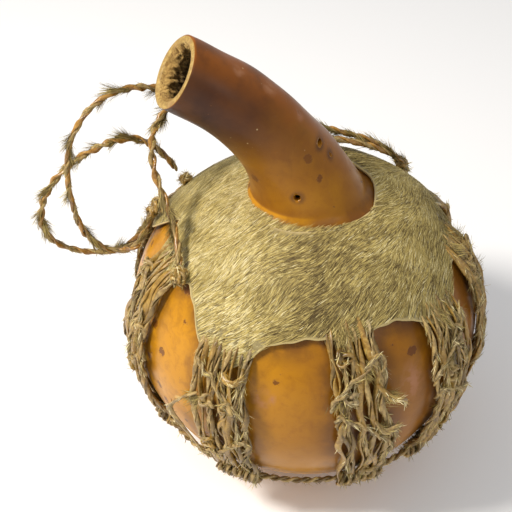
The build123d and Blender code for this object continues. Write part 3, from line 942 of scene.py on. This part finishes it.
def lacing_strand(thongs, place, number, top, foot, seed):
    """One thong: out of its slit, over the hide's edge, down the belly and hooked round the ring."""
    azimuth, slit, foot_shift, haired = BUNDLES[place]
    draw = thongs.draw
    levels = np.linspace(0, 1, 9)
    start = slit + draw.normal(0, 1.5)
    heights = start + (RING_HEIGHT + 3 - start) * levels
    wander = draw.normal(0, 1.0, 9) * np.sin(levels * np.pi) ** 0.6
    places = azimuth + top + (foot - top + foot_shift) * levels + wander
    lifts = 3.5 + draw.uniform(-0.7, 1.7, 9)
    lifts[:2] = 0.6, 3.9
    path, _ = skin(places, heights, lifts)
    hook, _ = skin(places[-1] + np.array([0.2, 0.4, 0.5]), np.array([46, 42.5, 43.0]),
                   np.array([8.0, 7.0, 2.8]))
    path = smooth_path(np.vstack([path, hook]), 110)
    path += Waves(22, seed + number)(path)[:, None] * unit(draw.normal(size=3)) * 0.5
    is_haired = draw.uniform() < haired
    if number in BROAD_STRANDS:
        # A single broad strip, smooth and glossy, that twists over once or twice.
        wide = draw.uniform(2.0, 2.5) * (1 + 0.2 * Waves(20, seed + number + 50)(path))
        turn = draw.uniform(0, 3) + np.linspace(0, draw.uniform(3, 7) * draw.choice([-1, 1]), 110)
        thongs.strip(path, wide, 0.8, turn, 0, sides=10)
        thongs.hair.along(path, 0.9, 30, 4.0, 0.5)
    else:
        slots = draw.choice([0, 1, 3]), draw.choice([1, 2] if is_haired else [0, 1])
        hairs, hair_length = (300, 7.5) if is_haired else (50, 4.5)
        thongs.two_ply(path, draw.uniform(24, 42), draw.uniform(0.85, 1.15), draw.uniform(1.3, 1.75),
                       slots, hairs, hair_length)


def lacing(place, looks, seed):
    """One bundle of thongs, with tied knots and a foot that is rolled round the ring."""
    slit = BUNDLES[place][1]
    thongs = Thongs(seed)
    draw = thongs.draw
    tops = np.linspace(-SLIT_SPREAD, SLIT_SPREAD, STRANDS) + draw.normal(0, 0.4, STRANDS)
    order = np.argsort(np.arange(STRANDS) + draw.normal(0, 1.1, STRANDS))
    feet = np.linspace(-FOOT_SPREAD, FOOT_SPREAD, STRANDS)[order]
    for number in range(STRANDS):
        lacing_strand(thongs, place, number, tops[number], feet[number], seed)
    for lowest, highest in ((slit - 45, slit - 14), (slit - 45, slit - 14), (62, 92)):
        height = draw.uniform(lowest, highest)
        offset = draw.uniform(-6, 6)
        centre, normal = skin(bundle_middle(place, height) + offset, height, 5.6)
        path = knot_path(centre, draw.uniform(4.2, 5.4), normal, draw)
        wide = draw.uniform(1.3, 1.8)
        thongs.strip(path, wide, 1.05, np.linspace(0, 4, len(path)), draw.choice([0, 1, 2]))
        thongs.hair.along(path, 1.0, 80, 5.0, 0.6)
    start = BUNDLES[place][0] + BUNDLES[place][2] - 7.4
    sweep = np.linspace(0, 1, 150)
    for number, slot in enumerate((3, 1)):
        phase = sweep * draw.uniform(4.5, 6.5) * TAU + number * 1.7
        reach = 3.3 + 0.5 * np.sin(sweep * 9 + number)
        height = 47.5 + number * 2.5 + np.sin(phase) * (reach + 1.0) + np.sin(sweep * 7 + number) * 1.2
        path, _ = skin(start + 14.8 * sweep, height, np.maximum(5.0 + np.cos(phase) * reach, 1.5))
        thongs.strip(path, draw.uniform(1.5, 1.9), 0.9, phase, slot)
        thongs.hair.along(path, 0.9, 200, 5.0, 0.55)
    thongs.build("lacing_thongs_" + place, "lacing_hair_" + place, looks, "rawhide_lacing",
                 "lacing_" + place)


def binding(place, looks, seed):
    """Haired thongs tied across their bundle, with loose ends that hang down."""
    slit = BUNDLES[place][1]
    thongs = Thongs(seed)
    draw = thongs.draw
    for number in range(2):
        slope = draw.choice([-1, 1]) * draw.uniform(8, 20)
        height = slit - (27 if number == 0 else draw.uniform(52, 78))
        reach = draw.uniform(6.5, 9.0)
        across = np.linspace(-reach, reach, 7)
        places = bundle_middle(place, height) + across
        heights = height + slope * across / 9 + draw.normal(0, 2.2, 7)
        lifts = 6.0 + draw.uniform(-0.9, 0.8, 7)
        tail = draw.choice([-1, 1])
        places = [places[0] - 0.6, *places, places[-1] + 0.8, places[-1] + tail]
        heights = [heights[0] - 9, *heights, heights[-1] - 6, heights[-1] - 14]
        path, _ = skin(places, heights, [2.2, *lifts, 5.0, 3.2])
        pitch, half_width = draw.uniform(14, 24), draw.uniform(1.0, 1.35)
        thongs.two_ply(smooth_path(path, 80), pitch, 0.7, half_width, (0, 1), 150, 7.0)
    thongs.build("binding_thong_" + place, "binding_hair_" + place, looks, "rawhide_lacing",
                 "binding_" + place)


# Each tuft of longer hair: azimuth, height, hairs, length, way right and way up.
TUFTS = (
    (77, 147, 120, 15, 0.7, 0.5), (77, 146, 80, 12, -0.6, -0.7), (89, 168, 90, 11, 0.8, 0.5),
    (90, 143, 90, 11, 0.9, 0.2), (26, 129, 90, 13, 1.0, 0.1), (23, 108, 80, 11, 0.8, 0.5),
    (12, 132, 60, 8, -0.4, -0.9), (20, 150, 90, 12, 0.4, -0.9), (-31, 119, 110, 12, -0.8, -0.5),
    (-24, 139, 60, 8, 0.5, -0.8), (52, 132, 110, 12, -0.8, -0.2), (-59, 122, 90, 9, -0.8, 0.3),
    (161, 120, 110, 12, 0.7, -0.6), (-145, 120, 110, 12, -0.7, -0.6), (-106, 110, 90, 11, 0.6, -0.6),
    (14, 168, 120, 10, -0.2, -1.0), (52, 158, 120, 11, 0.1, -1.0), (80, 170, 100, 10, 0.3, -0.9),
)
# Each loose curled end of thong, as azimuths, heights and lifts along it.
LOOSE_ENDS = (
    ((-31, 124, 5), (-34.4, 119.4, 8), (-40.2, 104.5, 7), (-42.5, 93, 5), (-39.1, 80.6, 4), (-36, 66, 4),
     (-35.5, 52, 5)),
    ((23, 140, 6), (27, 130, 8), (30, 128, 9), (31.5, 122, 6)),
    ((22, 116, 6), (25, 108, 8), (28.5, 110, 9), (29.5, 105, 6)),
    ((-24, 143, 4), (-22, 139.5, 7), (-19.3, 139.5, 8), (-17.2, 143.5, 7), (-17.5, 148, 4.5)),
)


def tufts_and_ends(looks):
    """Loose curled ends of thong, and tufts of hair that stand out from the bundles."""
    thongs = Thongs(909)
    draw = thongs.draw
    for number, route in enumerate(LOOSE_ENDS):
        path = smooth_path(skin(*np.array(route, float).T)[0], 70)
        wide = 1.7 + 0.5 * np.sin(np.linspace(0, math.pi, 70))
        thongs.strip(path, wide, 0.8, np.linspace(0, 2.5, 70), number % 2, sides=10)
        thongs.hair.along(path, 1.0, 110, 6.0, 0.75, width=0.32)
    for azimuth, height, count, length, right, up in TUFTS:
        at = azimuth + draw.normal(0, 1.3, count), height + draw.normal(0, 2.2, count)
        roots, normals = skin(*at, draw.uniform(3.0, 5.5, count))
        along = np.cross(UP, normals)
        rise = np.cross(normals, along)
        spread = draw.normal(0, 0.30, (count, 3))
        ways = unit(along * right + rise * up + normals * draw.uniform(0.0, 0.45, count)[:, None] + spread)
        facing = unit(np.cross(ways, np.cross(normals, ways)))
        lengths = draw.uniform(0.25, 0.9, count) * length
        thongs.hair.add(roots, facing, ways, lengths, 0.32, (STRAW, KHAKI, KHAKI, OLIVE, OLIVE))
    thongs.build("lacing_loose_ends", "lacing_tufts", looks, "rawhide_lacing")


def ring(looks, turns=46):
    """Two-ply thong that runs right round the lower belly."""
    thongs = Thongs(5)
    azimuth = np.linspace(0, 360, 400)
    for ply in range(2):
        phase = np.radians(azimuth) * turns + ply * math.pi
        path, _ = skin(azimuth, RING_HEIGHT + np.sin(phase) * 1.1, RING_LIFT + np.cos(phase) * 1.1)
        thongs.strip(path, 1.25, 1.0, 0, ply, capped=False, taper=0)
        thongs.hair.along(path, 0.9, 500, 5.0, 0.8)
    thongs.build("base_ring_thong", "base_ring_hair", looks, "rawhide_lacing", "base_ring")


# ---- Strap ----
def route_points(name):
    """Points along the smooth line of a strap thong, from a NURBS curve through its route, in mm."""
    data = bpy.data.curves.new(name + "_route", "CURVE")
    data.dimensions = "3D"
    data.resolution_u = 16
    spline = data.splines.new("NURBS")
    spline.points.add(len(STRAPS[name]) - 1)
    for point, place in zip(spline.points, STRAPS[name]):
        point.co = (*(np.array(place) * MM), 1)
    spline.order_u = 3
    spline.use_endpoint_u = True
    holder = bpy.data.objects.new(name + "_route", data)
    bpy.context.collection.objects.link(holder)
    mesh = bpy.data.meshes.new_from_object(holder)
    points = np.array([v.co for v in mesh.vertices]) / MM
    bpy.data.objects.remove(holder)
    return points


def even(path, step):
    """The same line with evenly spaced points, and its length."""
    length = np.concatenate([[0], np.cumsum(np.linalg.norm(np.diff(path, axis=0), axis=1))])
    at = np.linspace(0, length[-1], int(length[-1] / step) + 1)
    return np.stack([np.interp(at, length, axis) for axis in path.T], 1), length[-1]


def strap_hair(name, line, chunks, draw, materials):
    """Hair along a ply, thicker in some stretches, cut into short pieces along the thong."""
    pieces = []
    cuts = [int(len(line) * number / chunks) for number in range(chunks + 1)]
    for number, (low, high) in enumerate(zip(cuts[:-1], cuts[1:])):
        part = line[low:high + 1]
        batch = HairBatch(draw)
        for _ in range(3):
            middle = int(draw.uniform(0.15, 0.85) * len(part))
            stretch = part[max(0, middle - 7):middle + 8]
            facing = draw.uniform(0, 6)
            batch.along(stretch, 0.9, int(draw.uniform(60, 210)), 13, 0.6, facing, width=0.26,
                        tones=(STRAW, KHAKI, OLIVE, OLIVE, UMBER))
        batch.along(part, 1.0, 300, 5.0, 0.35, width=0.34, tones=(STRAW, KHAKI, KHAKI, OLIVE, UMBER))
        pieces.append(batch.build(f"{name}_hair_{number + 1}", materials, "rawhide_strap"))
    return pieces


def strap(name, looks, seed):
    """Two plies laid round each other: one smooth, one with its hair left on, in uneven tufts."""
    materials, hair_materials = looks
    thongs = Thongs(seed)
    path, length = even(route_points(name), STRAP_STEP)
    _, side, other = frames_along(path)
    reach = np.clip(0.95 * (1 + 0.25 * Waves(60, seed)(path)), 0.6, 1.3)[:, None]
    phase = TAU * np.arange(len(path)) * STRAP_STEP / STRAP_TWIST + 0.8 * Waves(70, seed + 1)(path)
    for ply in range(2):
        angle = phase + ply * math.pi
        line = path + turned(side, other, angle) * reach
        wide = 1.6 * (1 + 0.15 * Waves(22, seed + ply + 3)(path))
        thongs.strip(line, wide, 1.0, angle + math.pi / 2, ply, sides=10)
    thong = thongs.build_strips(name + "_plies", materials, "rawhide_strap", name)
    tufts = strap_hair(name, line, max(3, math.ceil(length / 80)), thongs.draw, hair_materials)


def strap_knots(looks):
    """The hitches that tie the strap into the hide."""
    for number, (name, (azimuth, height, size)) in enumerate(STRAP_KNOTS.items()):
        thongs = Thongs(300 + number)
        for turn in range(3):
            centre, normal = skin(azimuth + thongs.draw.normal(0, 0.8), height, size + 0.6 + turn * 1.4)
            path = knot_path(centre, size, normal, thongs.draw)
            thongs.strip(path, 1.5, 1.0, np.linspace(0, 3, len(path)), turn % 2)
            thongs.hair.along(path, 1.0, 110, 6.0, 0.6, width=0.34)
        thongs.build(name + "_tied", name + "_hair", looks, "rawhide_strap", name)


# ---- Make everything ----
make_camera()
golden = thong_material("thong_golden", (0.185, 0.095, 0.014), (0.42, 0.255, 0.050), 0.33, 0.2)
tan = thong_material("thong_tan", (0.20, 0.120, 0.036), (0.48, 0.335, 0.12), 0.5, 0.15)
grey = thong_material("thong_haired", (0.165, 0.110, 0.046), (0.45, 0.345, 0.165), 0.7, 0.0)
dark = thong_material("thong_dark", (0.10, 0.055, 0.012), (0.24, 0.150, 0.036), 0.45, 0.15)
glossy = thong_material("thong_glossy", (0.19, 0.080, 0.010), (0.44, 0.235, 0.040), 0.27, 0.3)
hair_tones = [plain(name, colour, 0.62) for name, colour in HAIR_TONES.items()]
for number, name in enumerate(STRAPS):
    strap(name, ([glossy, tan], hair_tones), 60 + 20 * number)
strap_knots(([golden, tan], hair_tones))
make_gourd()
hide = make_hide()
hide_hair(hair_tones)
for number, place in enumerate(BUNDLES):
    lacing(place, ([golden, tan, grey, dark], hair_tones), 1000 + 100 * number)
    binding(place, ([tan, grey], hair_tones), 3000 + 100 * number)
tufts_and_ends(([tan, golden], hair_tones))
ring(([dark, tan], hair_tones))
make_stage()
